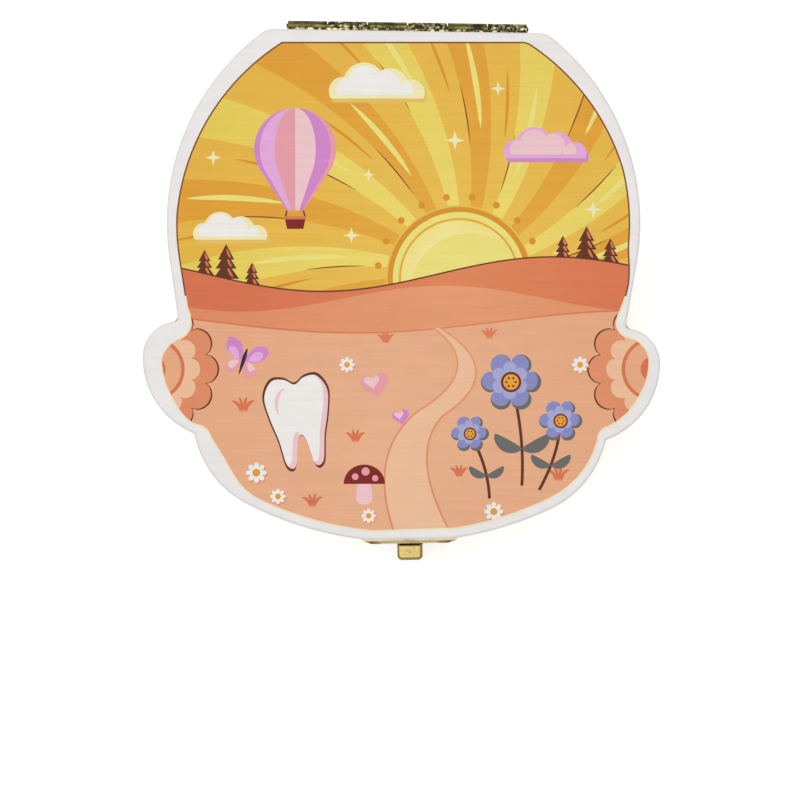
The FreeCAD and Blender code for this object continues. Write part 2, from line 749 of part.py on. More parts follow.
def latch_base_plate():
    """The base's plate, with two lugs for the lever's pin."""
    body = latch_plate("latch_base_plate", BASE_PLATE_Z, "Sizes.base_plate_height")
    pivot_y = "-(Sizes.plate_thickness + Sizes.pivot_reach)"
    pivot_z = f"({PIVOT_Z} - {BASE_PLATE_Z})"
    for start in (f"-{LUG_OUTER}", f"({LUG_OUTER} - Sizes.lug_thickness)"):
        lug = new_sketch(body, "YZ_Plane", start)
        lug.setExpression("AttachmentOffset.Base.x", pivot_y)
        lug.setExpression("AttachmentOffset.Base.y", pivot_z)
        draw_lug(lug)
        pad(body, lug, "Sizes.lug_thickness")
    bore = new_sketch(body, "YZ_Plane")
    draw_circle(bore, pivot_y, pivot_z, "Sizes.pivot_pin_radius + Sizes.running_clearance")
    cut(body, bore, "Sizes.lever_width")
    return body


def latch_lever():
    """A hollow sheet lever drawn about its pivot: front wall, roof hook and two cheeks."""
    body = latch_body("latch_lever", PIVOT_OUT, PIVOT_Z)
    front = "(-Sizes.lever_reach)"
    wall_inside = f"({front} + Sizes.lever_wall)"
    hook = f"({PLATE_FACE} - Sizes.hook_clearance)"
    roof_top = f"({ROOF_UNDER} + Sizes.lever_wall)"
    boss = "Sizes.lever_boss_radius"
    profile = new_sketch(body, "YZ_Plane")
    draw_polygon(
        profile,
        [
            (front, "-Sizes.lever_tail"),
            (wall_inside, "-Sizes.lever_tail"),
            (wall_inside, f"-{boss}"),
            (f"{boss} / 2", f"-{boss}"),
            (boss, f"-{boss} / 2"),
            (hook, ROOF_UNDER),
            (hook, roof_top),
            (front, roof_top),
        ],
    )
    pad(body, profile, "Sizes.lever_width", symmetric=True)
    hollow = new_sketch(body, "XZ_Plane", "-Sizes.lever_width")
    inside = "(Sizes.lever_width / 2 - Sizes.lever_cheek)"
    draw_box(hollow, f"-{inside}", inside, "-2 * Sizes.lever_tail", ROOF_UNDER)
    cut(body, hollow, f"Sizes.lever_width - {wall_inside}")
    bore = new_sketch(body, "YZ_Plane")
    draw_circle(bore, "0", "0", "Sizes.pivot_pin_radius + Sizes.running_clearance")
    cut(body, bore, "Sizes.lever_width")
    front_y, top_z = number(front), number(roof_top)
    soften(
        body,
        "Fillet",
        "Sizes.lever_corner_radius",
        lambda edge: is_upright(edge) and lies_at(edge, y=front_y),
    )
    soften(body, "Fillet", "Sizes.lever_edge_round", lambda edge: lies_at(edge, z=top_z))
    return body


def latch_spring():
    """A bent leaf: a foot flat on the base plate, and a tongue that reaches the lever's tail."""
    body = latch_body("latch_spring", PIVOT_OUT, PIVOT_Z)
    foot = f"({PLATE_FACE} - Sizes.spring_thickness)"
    wall_inside = "(Sizes.lever_wall - Sizes.lever_reach)"
    tip = f"({wall_inside} + Sizes.spring_tip_clearance)"
    profile = new_sketch(body, "YZ_Plane")
    draw_polygon(
        profile,
        [
            (foot, "Sizes.spring_foot_rise"),
            (foot, "-Sizes.spring_foot_drop"),
            (tip, "-Sizes.spring_tip_drop"),
            (tip, "-Sizes.spring_tip_drop - Sizes.spring_tip_thickness"),
            (PLATE_FACE, "-Sizes.spring_foot_drop - Sizes.spring_thickness / 2"),
            (PLATE_FACE, "Sizes.spring_foot_rise"),
        ],
    )
    pad(body, profile, "Sizes.spring_width", symmetric=True)
    return body


def latch_pivot_pin():
    along, _ = latch_directions()
    return pin(
        "latch_pivot_pin",
        (*latch_place("0", PIVOT_OUT), PIVOT_Z),
        along,
        "Sizes.pivot_pin_radius",
        "Sizes.lever_width - 2 * Sizes.pivot_pin_head",
        "Sizes.pivot_pin_head",
    )


def latch_nails(label, z):
    face = f"({LAND_OUT} + Sizes.plate_thickness)"
    places = [(*latch_place(f"({side}{PLATE_NAIL_X})", face), z) for side in ("-", "")]
    _, outward = latch_directions()
    return nail_group(label, places, outward)


def write_parts(pieces):
    """Checks every object and writes each piece to its own file."""
    doc.recompute()
    failed = [item.Label for item in doc.Objects if {"Invalid", "Error"} & set(item.State)]
    if failed:
        raise RuntimeError(f"failed objects: {failed}")
    for piece in pieces:
        if piece.Shape.isNull() or not piece.Shape.isValid():
            raise RuntimeError(f"bad shape: {piece.Label}")
    os.makedirs("parts", exist_ok=True)
    for piece in pieces:
        piece.Shape.exportStep(f"parts/{piece.Label}.step")
        box = piece.Shape.optimalBoundingBox()
        low = (round(box.XMin, 2), round(box.YMin, 2), round(box.ZMin, 2))
        high = (round(box.XMax, 2), round(box.YMax, 2), round(box.ZMax, 2))
        print(piece.Label, len(piece.Shape.Solids), "solids", round(piece.Shape.Volume, 2), low, high)


write_parts([
    base_block(),
    lid_block(),
    hinge_leaf("hinge_leaf_base", turned=False),
    hinge_leaf("hinge_leaf_lid", turned=True),
    hinge_pin(),
    hinge_nails("hinge_nails_base", "-"),
    hinge_nails("hinge_nails_lid", "+"),
    latch_base_plate(),
    latch_strike_plate(),
    latch_lever(),
    latch_pivot_pin(),
    latch_spring(),
    latch_nails("latch_nails_base", BASE_NAIL_Z),
    latch_nails("latch_nails_lid", STRIKE_NAIL_Z),
])
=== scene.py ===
import json
import math

import bmesh
import bpy
from mathutils import Matrix, Vector
from mathutils.geometry import delaunay_2d_cdt


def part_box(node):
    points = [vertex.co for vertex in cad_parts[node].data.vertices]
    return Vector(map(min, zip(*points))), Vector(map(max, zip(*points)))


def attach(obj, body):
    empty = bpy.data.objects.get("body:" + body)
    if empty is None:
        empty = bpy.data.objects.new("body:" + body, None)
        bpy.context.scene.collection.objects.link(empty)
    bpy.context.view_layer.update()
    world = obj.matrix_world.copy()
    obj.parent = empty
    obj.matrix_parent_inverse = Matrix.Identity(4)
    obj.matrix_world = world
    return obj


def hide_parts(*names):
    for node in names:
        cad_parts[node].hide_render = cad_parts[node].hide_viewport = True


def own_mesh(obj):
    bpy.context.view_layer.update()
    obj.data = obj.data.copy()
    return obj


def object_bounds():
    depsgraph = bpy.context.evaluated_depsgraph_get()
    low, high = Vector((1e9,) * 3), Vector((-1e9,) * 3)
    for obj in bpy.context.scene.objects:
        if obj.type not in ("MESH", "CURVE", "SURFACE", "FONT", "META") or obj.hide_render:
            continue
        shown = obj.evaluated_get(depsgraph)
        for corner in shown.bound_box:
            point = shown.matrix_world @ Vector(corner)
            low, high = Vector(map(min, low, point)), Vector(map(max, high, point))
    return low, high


# Baby tooth box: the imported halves, hinge and latch get their finishes, and the lid gets its print.
# Lengths in the print are millimetres seen from above, x to the right and y towards the hinge.
# Other lengths are metres, apart from the camera's sensor.

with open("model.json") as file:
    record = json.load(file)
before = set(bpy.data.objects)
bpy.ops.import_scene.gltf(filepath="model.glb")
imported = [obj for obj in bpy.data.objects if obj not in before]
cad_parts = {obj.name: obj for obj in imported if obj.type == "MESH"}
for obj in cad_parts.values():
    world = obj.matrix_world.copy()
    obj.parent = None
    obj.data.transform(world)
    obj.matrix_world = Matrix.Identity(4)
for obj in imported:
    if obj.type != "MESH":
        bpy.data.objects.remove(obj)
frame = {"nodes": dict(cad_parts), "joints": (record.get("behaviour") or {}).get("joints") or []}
cad_low, cad_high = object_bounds()

MM = 0.001
LID_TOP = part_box("lid_block")[1].z
LID_EDGE_ROUND = 0.7 * MM
HINGE_AXIS = (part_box("hinge_pin")[0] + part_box("hinge_pin")[1]) / 2
BARREL_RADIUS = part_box("hinge_leaf_base")[1].z - HINGE_AXIS.z
LEAF_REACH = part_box("hinge_leaf_lid")[1].z - HINGE_AXIS.z

# Latch: the lever's joint, which way the pivot runs and which way the latch faces
LEVER_JOINT = next(joint for joint in frame["joints"] if joint["name"] == "latch_lever_pivot")
LATCH_PIVOT = Vector(LEVER_JOINT["pos_m"])
LATCH_ALONG = Vector(LEVER_JOINT["axis"])
LATCH_OUT = LATCH_ALONG.cross(Vector((0.0, 0.0, 1.0)))

# Latch: faces behind the pivot, the plate's thickness and half the lever's hollow
PLATE_BEHIND_PIVOT = 1.6 * MM
PLATE_THICKNESS = 1.0 * MM
LEVER_REAR = 1.48 * MM
LEVER_HOLLOW = 2.3 * MM

# Camera: straight above, with the box's middle where the photograph has it
IMAGE_SIZE = 800
BOX_PIXEL = Vector((402.5, 286.0))
BOX_WIDTH_PIXELS = 518
BOX_TURN = math.radians(0.9)
CAMERA_HEIGHT = 1.5
SENSOR_MM = 36.0

# Stage: a white floor, a sky that is brighter above, and one soft lamp
FLOOR_HALF = 3.0
FLOOR_DROP = 0.1 * MM
FLOOR_GLOW = 0.55
SKY_LEVEL = 0.22
SKY_TOP = 0.8
SKY_TOP_FROM = 0.8
LAMP_PLACE = Vector((-0.2, 0.3, 1.2))
LAMP_SIZE = 1.0
LAMP_POWER = 5.4

# Finishes: least and most roughness of bright and of aged brass, and the patches of the latch's brass
BRIGHT_ROUGHNESS = (0.2, 0.36)
AGED_ROUGHNESS = (0.24, 0.5)
LATCH_PATCHES = 500.0
LATCH_PATCH_EDGE = 0.6

# Print: where it lies on the lid, how deep its film is, and how much of the lid its bake map spans
PRINT_INSET = 1.7
PRINT_EDGE_LINE = 0.35
PRINT_EDGE_CHANGE = -2.0
PRINT_SHIFT = Vector((0.15, -0.25))
PRINT_TURN = math.radians(0.9)
PRINT_CROWN = Vector((0.3, 12.0))
PRINT_CROWN_RADIUS = 53.05
LOBE_TOP = -6.0
LOBE_START = 50.0
LOBE_RUN = 7.0
LEFT_LOBE_INSET = 1.5
RIGHT_LOBE_INSET = 0.5
OUTLINE_STEP = 1.5
FILM_SINK = 0.02 * MM
FILM_RISE = 0.04 * MM
BAKE_SPAN = 130.0
BAKE_CORNER = 0.02

# Stretches where the print's edge lies further in or out: side, level, reach up and down, and change
INSET_CHANGES = (
    (-1, -41.5, 10.0, 1.65),
    (1, 0.5, 9.5, -1.3),
)

# Inks, as display colours of 0 to 255
INKS = {
    "brown": (122, 62, 24),
    "cream": (240, 226, 190),
    "sky": (226, 176, 60),
    "ray_light": (226, 200, 80),
    "ray_amber": (221, 154, 42),
    "shine": (234, 222, 122),
    "amber": (216, 144, 34),
    "sun": (238, 222, 128),
    "cloud": (238, 230, 178),
    "cloud_shade": (228, 190, 96),
    "lilac": (208, 132, 200),
    "lilac_pale": (226, 168, 216),
    "pink": (229, 155, 165),
    "pink_pale": (236, 196, 200),
    "far_hill": (214, 112, 74),
    "mid_hill": (222, 138, 96),
    "field": (228, 168, 128),
    "field_pale": (236, 188, 152),
    "maroon": (124, 26, 18),
    "bark": (96, 44, 20),
    "grey": (104, 104, 100),
    "periwinkle": (136, 138, 192),
    "periwinkle_pale": (164, 168, 210),
    "dark": (40, 32, 30),
    "white": (238, 234, 230),
}

# Print layout
SUN = Vector((13.0, 2.0))
SUN_RADIUS = 14.0
RAY_COUNT = 20
RAY_START = 17.0
RAY_END = 120.0
RAY_SWIRL = math.radians(0.32)
SCENE_HALF = 70.0
CREST_STEP = 2.0

# Streaks on each ray: ink, place across the ray, start and end along it, and width
STREAK_START = 26.0
STREAK_STEP = 9.0
STREAKS = (
    ("shine", 0.45, 0.0, 22.0, 1.3),
    ("amber", 1.4, 8.0, 24.0, 0.7),
    ("brown", 0.98, -4.0, 10.0, 0.3),
)

# Hills from far to near: ink, ink of the line, then the level, height, length and phase of the crest
HILLS = (
    ("far_hill", "bark", (3.0, 4.0, 17.0, 8.0)),
    ("mid_hill", "far_hill", (-2.5, 3.0, 15.0, -14.0)),
    ("field", "far_hill", (-8.0, 2.6, 21.0, 22.0)),
)

# Trees on the far hill: x and size, and how deep they stand behind the crest
TREES = ((-46.0, 7.0), (-41.0, 9.5), (-35.0, 6.5), (37.0, 6.5), (42.5, 9.0), (48.0, 7.0))
TREE_SINK = 1.5

# Middles of the rosettes
ROSETTES = ((-58.0, -19.0), (58.0, -19.0))

# Things that repeat: x, y and size, then inks or a stem's foot
CLOUDS = (
    (-6.0, 45.0, 22.0, "cloud", "cloud_shade", "white"),
    (33.0, 31.0, 19.0, "lilac_pale", "lilac", "pink_pale"),
    (-40.0, 12.0, 17.0, "cloud", "cloud_shade", "white"),
)
STARS = (
    (12.0, 34.0, 2.2), (22.0, 46.0, 1.7), (-44.0, 30.0, 1.8), (44.0, 18.0, 2.0),
    (-8.0, 26.0, 1.5), (-12.0, 12.0, 1.9), (36.0, 8.0, 1.4),
)
TUFTS = (
    (-37.0, -29.0, 4.0), (-11.0, -36.0, 3.4), (36.0, -45.0, 4.0), (-21.0, -51.0, 3.6),
    (20.0, -12.0, 3.0), (-4.0, -13.0, 3.0), (13.0, -44.0, 3.2),
)
DAISIES = (
    (-34.0, -43.0, 2.4), (-29.0, -48.5, 1.8), (21.0, -52.0, 2.2),
    (41.0, -18.0, 1.9), (-8.0, -53.0, 1.7), (-13.0, -18.0, 1.8),
)
FLOWERS = (
    (25.0, -22.0, 7.0, (27.5, -46.0)),
    (36.5, -31.0, 5.0, (31.5, -47.0)),
    (15.5, -34.0, 4.4, (20.0, -49.0)),
)
HEARTS = ((-6.5, -22.5, 6.5, "pink"), (-0.5, -30.0, 4.0, "lilac"))

# Inks that run from another colour at a centre to their own at a radius
GLOWS = {
    "sky": ((234, 192, 80), SUN, 75.0),
    "ray_light": ((240, 220, 112), SUN, 70.0),
    "ray_amber": ((228, 170, 56), SUN, 75.0),
    "sun": ((248, 240, 186), SUN, SUN_RADIUS),
    "far_hill": ((224, 132, 86), SUN, 50.0),
    "mid_hill": ((230, 156, 112), SUN, 55.0),
    "field": ((233, 177, 140), (0.0, -36.0), 50.0),
}


def linear(rgb):
    """A display colour of 0 to 255 as the scene-linear colour that shows as it."""
    shares = [value / 255 for value in rgb]
    return tuple(((s + 0.055) / 1.055) ** 2.4 if s > 0.04045 else s / 12.92 for s in shares) + (1.0,)


# Materials
class Recipe:
    """A material's node tree, with short calls that add nodes and link them."""

    def __init__(self, name):
        self.material = bpy.data.materials.new(name)
        self.material.use_nodes = True
        self.tree = self.material.node_tree
        self.shader = self.tree.nodes["Principled BSDF"]
        self.place = self.add("TexCoord").outputs["Object"]

    def feed(self, socket, value):
        if isinstance(value, bpy.types.NodeSocket):
            self.tree.links.new(value, socket)
        else:
            socket.default_value = value

    def add(self, kind, settings=None, **inputs):
        node = self.tree.nodes.new("ShaderNode" + kind)
        for name, value in (settings or {}).items():
            setattr(node, name, value)
        for name, value in inputs.items():
            self.feed(node.inputs[name.replace("_", " ")], value)
        return node

    def finish(self, **inputs):
        for name, value in inputs.items():
            self.feed(self.shader.inputs[name.replace("_", " ")], value)
        return self.material

    def noise(self, scale, detail=3.0, roughness=0.5):
        """Noise with its own number of waves per metre along x, y and z."""
        stretched = self.add("Mapping", Vector=self.place, Scale=scale).outputs["Vector"]
        node = self.add("TexNoise", Vector=stretched, Scale=1.0, Detail=detail, Roughness=roughness)
        return node.outputs["Fac"]

    def range(self, value, low, high, start=0.0, end=1.0):
        """The value's stretch from start to end, brought to run from low to high."""
        names = {"From_Min": start, "From_Max": end, "To_Min": low, "To_Max": high}
        return self.add("MapRange", Value=value, **names).outputs["Result"]

    def mix(self, share, one, other, kind="MIX"):
        node = self.add("Mix", {"data_type": "RGBA", "blend_type": kind})
        for index, value in ((0, share), (6, one), (7, other)):
            self.feed(node.inputs[index], value)
        return node.outputs[2]

    def math(self, one, other=0.0, operation="ADD"):
        node = self.add("Math", {"operation": operation})
        self.feed(node.inputs[0], one)
        self.feed(node.inputs[1], other)
        return node.outputs["Value"]

    def along(self, start, direction):
        """How far the place lies from a start along a direction."""
        node = self.add("VectorMath", {"operation": "DOT_PRODUCT"})
        self.feed(node.inputs[0], self.place)
        self.feed(node.inputs[1], direction)
        return self.math(node.outputs["Value"], -start.dot(direction))

    def bump(self, height, distance, strength):
        node = self.add("Bump", Height=height, Distance=distance, Strength=strength)
        return node.outputs["Normal"]


def wood_grain(recipe, light, dark, pith):
    """Growth rings about a pith that runs along x, with fine fibres. Returns the colour and the fibres."""
    ring_width = 2.8 * MM
    rings_per_metre = 1 / ring_width
    taper = 0.045
    sway = 2.6 * MM
    late_start = 0.3
    late_end = 0.9
    to_pith = (0.0, -pith[0], -pith[1])
    across = recipe.add("Mapping", Vector=recipe.place, Location=to_pith, Scale=(0.0, 1.0, 1.0))
    away = recipe.add("VectorMath", {"operation": "LENGTH"}, Vector=across.outputs["Vector"])
    along = recipe.add("SeparateXYZ", Vector=recipe.place).outputs["X"]
    radius = recipe.math(away.outputs["Value"], recipe.math(along, taper, "MULTIPLY"))
    wander = recipe.range(recipe.noise((6.0, 22.0, 22.0), detail=3.0), -sway, sway)
    years = recipe.math(recipe.math(radius, wander), rings_per_metre, "MULTIPLY")
    ring = recipe.math(years, operation="FRACT")
    darkening = recipe.range(ring, 0.0, 1.0, late_start, late_end)
    ending = recipe.range(ring, 1.0, 0.0, late_end, 1.0)
    late_wood = recipe.math(recipe.math(darkening, 2.0, "POWER"), ending, "MULTIPLY")
    growth = recipe.add("TexNoise", {"noise_dimensions": "1D"}, W=years, Scale=0.45, Detail=1.0)
    strength = recipe.range(growth.outputs["Fac"], 0.35, 1.0, 0.3, 0.7)
    late_wood = recipe.math(late_wood, strength, "MULTIPLY")
    fibres = recipe.noise((60.0, 1600.0, 1600.0), detail=4.0, roughness=0.6)
    patches = recipe.noise((14.0, 40.0, 40.0), detail=2.0)
    colour = recipe.mix(recipe.range(late_wood, 0.0, 0.8), linear(light), linear(dark))
    colour = recipe.mix(1.0, colour, recipe.range(fibres, 0.8, 1.16), "MULTIPLY")
    colour = recipe.mix(1.0, colour, recipe.range(patches, 0.9, 1.1), "MULTIPLY")
    return colour, fibres


def base_wood():
    recipe = Recipe("base_wood")
    colour, fibres = wood_grain(recipe, (232, 200, 154), (194, 150, 100), (0.012, -0.085))
    return recipe.finish(
        Base_Color=colour,
        Roughness=recipe.range(fibres, 0.5, 0.68),
        Normal=recipe.bump(fibres, 0.08 * MM, 0.5),
    )


def lid_wood():
    """Bare wood on the sides and inside. The face and its rounded edge are primed white."""
    recipe = Recipe("lid_wood")
    wood, fibres = wood_grain(recipe, (234, 204, 160), (198, 156, 108), (-0.018, 0.13))
    streaks = recipe.noise((45.0, 900.0, 900.0), detail=4.0)
    mottle = recipe.noise((240.0, 240.0, 240.0), detail=3.0)
    streaked = recipe.range(streaks, 0.0, 1.0, 0.3, 0.7)
    paint = recipe.mix(streaked, linear((236, 233, 231)), linear((230, 227, 226)))
    paint = recipe.mix(recipe.range(mottle, 0.0, 0.5, 0.4, 0.7), paint, linear((240, 237, 234)))
    height = recipe.add("SeparateXYZ", Vector=recipe.place).outputs["Z"]
    wander = recipe.range(recipe.noise((500.0, 500.0, 500.0)), -0.15 * MM, 0.15 * MM)
    edge = LID_TOP - LID_EDGE_ROUND
    painted = recipe.range(recipe.math(height, wander), 0.0, 1.0, edge - 0.1 * MM, edge + 0.05 * MM)
    grain = recipe.range(painted, 1.0, 0.25)
    return recipe.finish(
        Base_Color=recipe.mix(painted, wood, paint),
        Roughness=recipe.range(painted, 0.6, 0.5),
        Specular_IOR_Level=0.25,
        Normal=recipe.bump(recipe.math(fibres, grain, "MULTIPLY"), 0.08 * MM, 0.5),
    )


def ink(name):
    """Printed ink: the grain of the board shows through as fine level streaks."""
    recipe = Recipe("ink_" + name)
    colour = linear(INKS[name])
    if name in GLOWS:
        inner, centre, radius = GLOWS[name]
        away = recipe.add("VectorMath", {"operation": "DISTANCE"})
        recipe.feed(away.inputs[0], recipe.place)
        recipe.feed(away.inputs[1], (centre[0] * MM, centre[1] * MM, LID_TOP))
        outwards = recipe.range(away.outputs["Value"], 0.0, 1.0, 0.0, radius * MM)
        colour = recipe.mix(outwards, linear(inner), colour)
    streaks = recipe.noise((35.0, 1100.0, 1.0), detail=4.0, roughness=0.6)
    threads = recipe.noise((18.0, 2600.0, 1.0), detail=2.0)
    blotches = recipe.noise((160.0, 260.0, 1.0), detail=3.0)
    shade = recipe.math(recipe.range(streaks, 0.9, 1.1), recipe.range(threads, 0.95, 1.05), "MULTIPLY")
    shade = recipe.math(shade, recipe.range(blotches, 0.95, 1.05), "MULTIPLY")
    return recipe.finish(
        Base_Color=recipe.mix(1.0, colour, shade, "MULTIPLY"),
        Roughness=recipe.range(streaks, 0.42, 0.58),
        Specular_IOR_Level=0.2,
        Normal=recipe.bump(streaks, 0.03 * MM, 0.4),
    )


def brass_metal(recipe, bright, dull, patch_scale, patch_edge):
    """Plated brass with duller patches and pits. Returns its colour, its wear and its pits."""
    patches = recipe.noise((patch_scale,) * 3, detail=5.0, roughness=0.65)
    pits = recipe.noise((3800.0,) * 3, detail=2.0)
    worn = recipe.range(patches, 0.0, 1.0, patch_edge - 0.09, patch_edge + 0.09)
    colour = recipe.mix(worn, linear(bright), linear(dull))
    return recipe.mix(1.0, colour, recipe.range(pits, 0.75, 1.2), "MULTIPLY"), worn, pits


def finish_metal(recipe, colour, worn, pits, roughness):
    scratches = recipe.noise((200.0, 5200.0, 5200.0), detail=2.0)
    return recipe.finish(
        Base_Color=colour,
        Metallic=1.0,
        Roughness=recipe.range(worn, *roughness),
        Normal=recipe.bump(recipe.math(scratches, pits), 0.02 * MM, 0.5),
    )


def brass(name, bright, dull, patch_scale, patch_edge):
    recipe = Recipe(name)
    colour, worn, pits = brass_metal(recipe, bright, dull, patch_scale, patch_edge)
    return finish_metal(recipe, colour, worn, pits, BRIGHT_ROUGHNESS)


def lever_brass(name, bright, dull, gap_shade):
    """The latch lever, with painted shade along the middle of its rear edge, where the hook runs by its
    plate.
    """
    recipe = Recipe(name)
    colour, worn, pits = brass_metal(recipe, bright, dull, LATCH_PATCHES, LATCH_PATCH_EDGE)
    behind = recipe.along(LATCH_PIVOT, -LATCH_OUT)
    at_rear = recipe.range(behind, 0.0, 1.0, LEVER_REAR - 0.5 * MM, LEVER_REAR - 0.25 * MM)
    sideways = recipe.math(recipe.along(LATCH_PIVOT, LATCH_ALONG), operation="ABSOLUTE")
    in_middle = recipe.range(sideways, 1.0, 0.0, LEVER_HOLLOW - 0.1 * MM, LEVER_HOLLOW + 0.1 * MM)
    # Painted shade: the gap behind the hook is darkened in the colour
    gap_shaded = recipe.math(at_rear, in_middle, "MULTIPLY")
    colour = recipe.mix(gap_shaded, colour, linear(gap_shade))
    return finish_metal(recipe, colour, worn, pits, BRIGHT_ROUGHNESS)


def plate_brass(name, bright, dull, end_shade):
    """A latch plate, with painted shade towards the ends of its outer edge."""
    recipe = Recipe(name)
    colour, worn, pits = brass_metal(recipe, bright, dull, LATCH_PATCHES, LATCH_PATCH_EDGE)
    sideways = recipe.math(recipe.along(LATCH_PIVOT, LATCH_ALONG), operation="ABSOLUTE")
    wander = recipe.range(recipe.noise((420.0,) * 3), -2.0 * MM, 2.0 * MM)
    at_end = recipe.range(recipe.math(sideways, wander), 0.0, 1.0, 6.0 * MM, 8.5 * MM)
    behind = recipe.along(LATCH_PIVOT, -LATCH_OUT)
    outer = PLATE_BEHIND_PIVOT + PLATE_THICKNESS / 2
    at_face = recipe.range(behind, 1.0, 0.0, outer - 0.2 * MM, outer + 0.2 * MM)
    # Painted shade towards both ends of the plate's outer edge
    end_shaded = recipe.math(at_end, at_face, "MULTIPLY")
    colour = recipe.mix(end_shaded, colour, linear(end_shade))
    return finish_metal(recipe, colour, worn, pits, BRIGHT_ROUGHNESS)


def hinge_brass(name, bright, dull, patch_scale, patch_edge):
    """A leaf in aged brass. Its barrel and its far edge have a finish of their own, which on the lid's
    leaf is worn brass with painted glints.
    """
    recipe = Recipe(name)
    leaf, leaf_worn, pits = brass_metal(recipe, (180, 154, 92), (160, 134, 76), 220.0, 0.52)
    barrel, barrel_wear_and_glints, _ = brass_metal(recipe, bright, dull, patch_scale, patch_edge)
    reach = BARREL_RADIUS + 0.1 * MM
    height = recipe.add("SeparateXYZ", Vector=recipe.place).outputs["Z"]
    away = recipe.math(recipe.math(height, -HINGE_AXIS.z), operation="ABSOLUTE")
    on_barrel = recipe.range(away, 1.0, 0.0, reach, reach + 0.3 * MM)
    on_edge = recipe.range(away, 0.0, 1.0, LEAF_REACH - 0.4 * MM, LEAF_REACH - 0.1 * MM)
    barrel_and_edge = recipe.math(on_barrel, on_edge, "MAXIMUM")
    worn = recipe.math(recipe.math(barrel_wear_and_glints, barrel_and_edge, "MULTIPLY"), leaf_worn, "MAXIMUM")
    # On the lid's leaf the barrel's bright patches are painted glints on worn brass
    colour = recipe.mix(barrel_and_edge, leaf, barrel)
    return finish_metal(recipe, colour, worn, pits, AGED_ROUGHNESS)


# Shapes of the print
def circle(x, y, radius, count=40):
    turns = [2 * math.pi * i / count for i in range(count)]
    return [(x + radius * math.cos(t), y + radius * math.sin(t)) for t in turns]


def star(x, y, radius, points=4, inner=0.32):
    corners = []
    for i in range(2 * points):
        t = math.pi / 2 + math.pi * i / points
        reach = radius * (inner if i % 2 else 1.0)
        corners.append((x + reach * math.cos(t), y + reach * math.sin(t)))
    return corners


def heart(x, y, size, turn, count=36):
    """The usual heart curve, which is 32 wide before it is brought to its size."""
    corners = []
    for i in range(count):
        t = 2 * math.pi * i / count
        across = 16 * math.sin(t) ** 3
        up = 13 * math.cos(t) - 5 * math.cos(2 * t) - 2 * math.cos(3 * t) - math.cos(4 * t)
        corners.append(Vector((across, up)) * size / 32)
    return moved(corners, x, y, turn)


def blossom(x, y, radius, petals, turn=0.0, depth=0.34):
    corners = []
    count = 14 * petals
    for i in range(count):
        t = 2 * math.pi * i / count
        reach = radius * (1 - depth + depth * abs(math.cos(petals * t / 2)) ** 0.6)
        corners.append((x + reach * math.cos(t + turn), y + reach * math.sin(t + turn)))
    return corners


def moved(points, x, y, turn=0.0, scale=1.0):
    matrix = Matrix.Rotation(turn, 2)
    return [tuple(matrix @ (Vector(p) * scale) + Vector((x, y))) for p in points]


def area_of(points):
    """Twice the area of a loop, below zero if it runs clockwise."""
    return sum(a.x * b.y - b.x * a.y for a, b in zip(points, points[1:] + points[:1]))


def smooth_loop(points, steps=5):
    """A closed curve through the points."""
    count = len(points)
    curve = []
    for i in range(count):
        a, b, c, d = (Vector(points[(i + k) % count]) for k in (-1, 0, 1, 2))
        for step in range(steps):
            t = step / steps
            curve.append(tuple(
                b + (c - a) * t / 2 + (a * 2 - b * 5 + c * 4 - d) * t * t / 2
                + (b * 3 - a - c * 3 + d) * t ** 3 / 2
            ))
    return curve


def ribbon(path, width, pointed=True):
    """A stroke along a path. A pointed one swells from nothing at both ends."""
    path = [Vector(p) for p in path]
    last = len(path) - 1
    left, right = [], []
    for i, point in enumerate(path):
        ahead = (path[min(i + 1, last)] - path[max(i - 1, 0)]).normalized()
        swell = math.sin(math.pi * i / last) ** 0.6 if pointed else 1.0
        side = Vector((-ahead.y, ahead.x)) * width / 2 * swell
        left.append(tuple(point + side))
        if not pointed or 0 < i < last:
            right.append(tuple(point - side))
    return left + right[::-1]


def bend(start, middle, end, count=14):
    """A curve from start to end, drawn towards the middle point."""
    a, b, c = Vector(start), Vector(middle), Vector(end)
    shares = [i / count for i in range(count + 1)]
    return [a * (1 - t) ** 2 + b * 2 * t * (1 - t) + c * t * t for t in shares]


def ray_point(angle, reach):
    turned = angle + RAY_SWIRL * (reach - RAY_START)
    return SUN + Vector((math.cos(turned), math.sin(turned))) * reach


def ray_path(angle, start, end, count=14):
    return [ray_point(angle, start + (end - start) * i / count) for i in range(count + 1)]


def crest_height(x, level, height, length, phase):
    return level + height * math.sin((x - phase) / length)


def crest(wave):
    last = int(2 * SCENE_HALF / CREST_STEP)
    steps = [-SCENE_HALF + CREST_STEP * i for i in range(last + 1)]
    return [Vector((x, crest_height(x, *wave))) for x in steps]


def hill(line):
    return [(-SCENE_HALF, -SCENE_HALF)] + [tuple(p) for p in line] + [(SCENE_HALF, -SCENE_HALF)]


def cloud_puffs(x, y, width):
    """The round puffs of one cloud, flat below."""
    puffs = ((-0.36, 0.02, 0.15), (-0.14, 0.1, 0.22), (0.14, 0.07, 0.19), (0.36, 0.0, 0.14))
    floor = y - 0.06 * width
    shapes = []
    for across, up, radius in puffs:
        round_puff = circle(x + across * width, y + up * width, radius * width, 32)
        shapes.append([(px, max(py, floor)) for px, py in round_puff])
    return shapes


